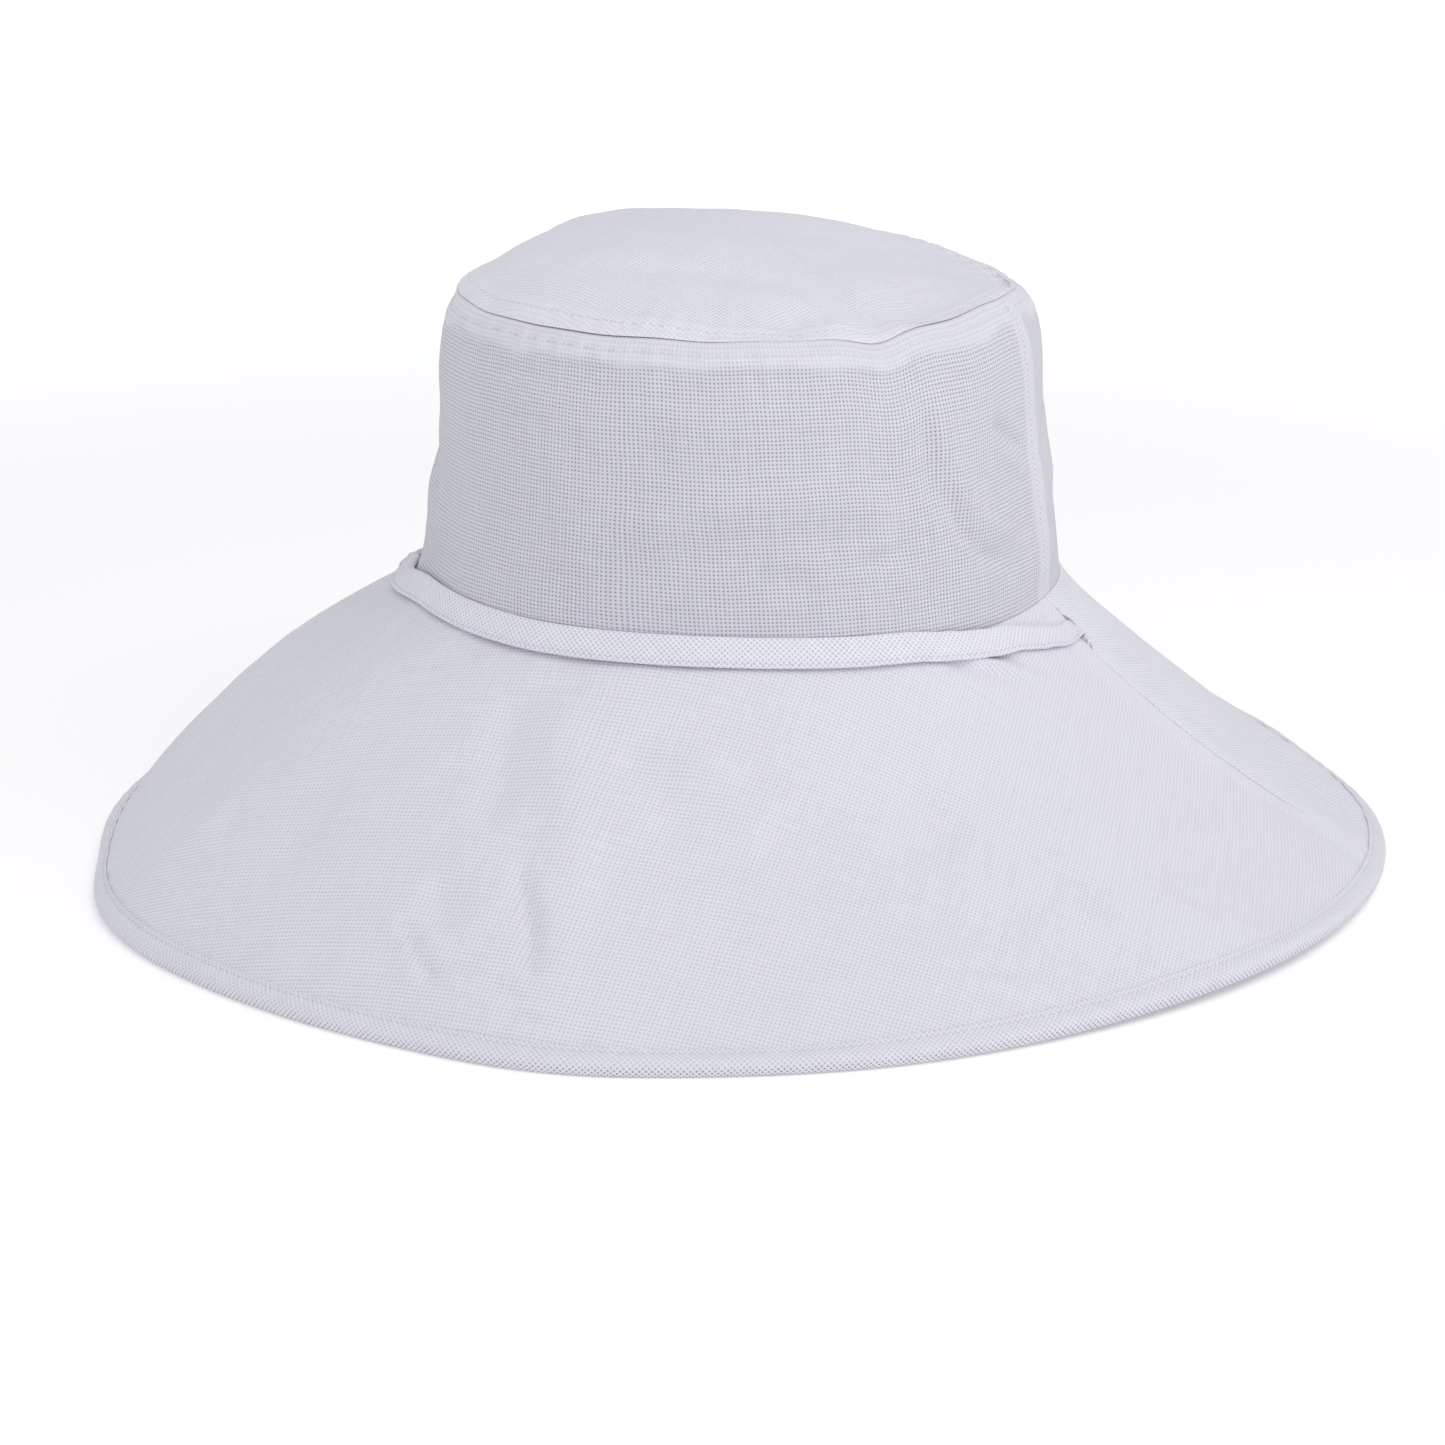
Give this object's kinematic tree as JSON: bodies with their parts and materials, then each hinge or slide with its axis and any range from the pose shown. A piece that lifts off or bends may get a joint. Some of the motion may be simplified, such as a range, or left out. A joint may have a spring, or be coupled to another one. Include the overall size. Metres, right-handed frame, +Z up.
{
  "type": "wide-brim cloth hat",
  "caption": "Sewn cotton hat with a domed crown, a deep bell-shaped brim with a bound corded edge, and a narrow chin tie through brim slits.",
  "frame": {"origin": "centre of the brim's outline on the surface that the hat stands on", "axes": "+Z up through the crown, -Y towards the front of the hat, +X towards the right of a viewer who faces the front"},
  "size_m": [0.377, 0.3898, 0.1794],
  "materials": {
    "crown_canvas": "plain-weave cotton, matt",
    "brim_canvas": "plain-weave cotton, matt",
    "under_brim_canvas": "plain-weave cotton, matt",
    "inner_cotton": "fine twill cotton, matt",
    "bias_tape": "bias-cut cotton tape, matt",
    "bias_binding": "bias-cut plain-weave cotton, matt",
    "tie_cloth": "bias-cut plain-weave cotton, matt",
    "interlining": "stiff bonded interlining",
    "filler_cord": "twisted cotton filler cord",
    "woven_label": "blank satin-woven label",
    "thread": "white sewing thread, slight sheen"
  },
  "bodies": {
    "hat": {"crown_tip": "crown_canvas", "crown_side_front": "crown_canvas", "crown_side_back": "crown_canvas", "sweatband": "inner_cotton", "tip_seam_tape": "bias_tape", "side_seam_tape_left": "bias_tape", "side_seam_tape_right": "bias_tape", "care_label": "woven_label", "brim_upper_front": "brim_canvas", "brim_upper_back": "brim_canvas", "brim_interlining_front": "interlining", "brim_interlining_back": "interlining", "brim_under_front": "under_brim_canvas", "brim_under_back": "under_brim_canvas", "brim_edge_binding": "bias_binding", "brim_edge_filler_cord": "filler_cord", "tie_tail_left": "tie_cloth", "tie_tail_right": "tie_cloth", "slit_bartack_left_inner": "thread", "slit_bartack_left_outer": "thread", "slit_bartack_right_inner": "thread", "slit_bartack_right_outer": "thread"},
    "tie": {"tie_front_run": "tie_cloth"}
  },
  "joints": [
    {"name": "tie_lift", "type": "slide", "parent": "hat", "child": "tie", "axis": [0, 0, 1], "range_m": [0, 0.018]}
  ]
}
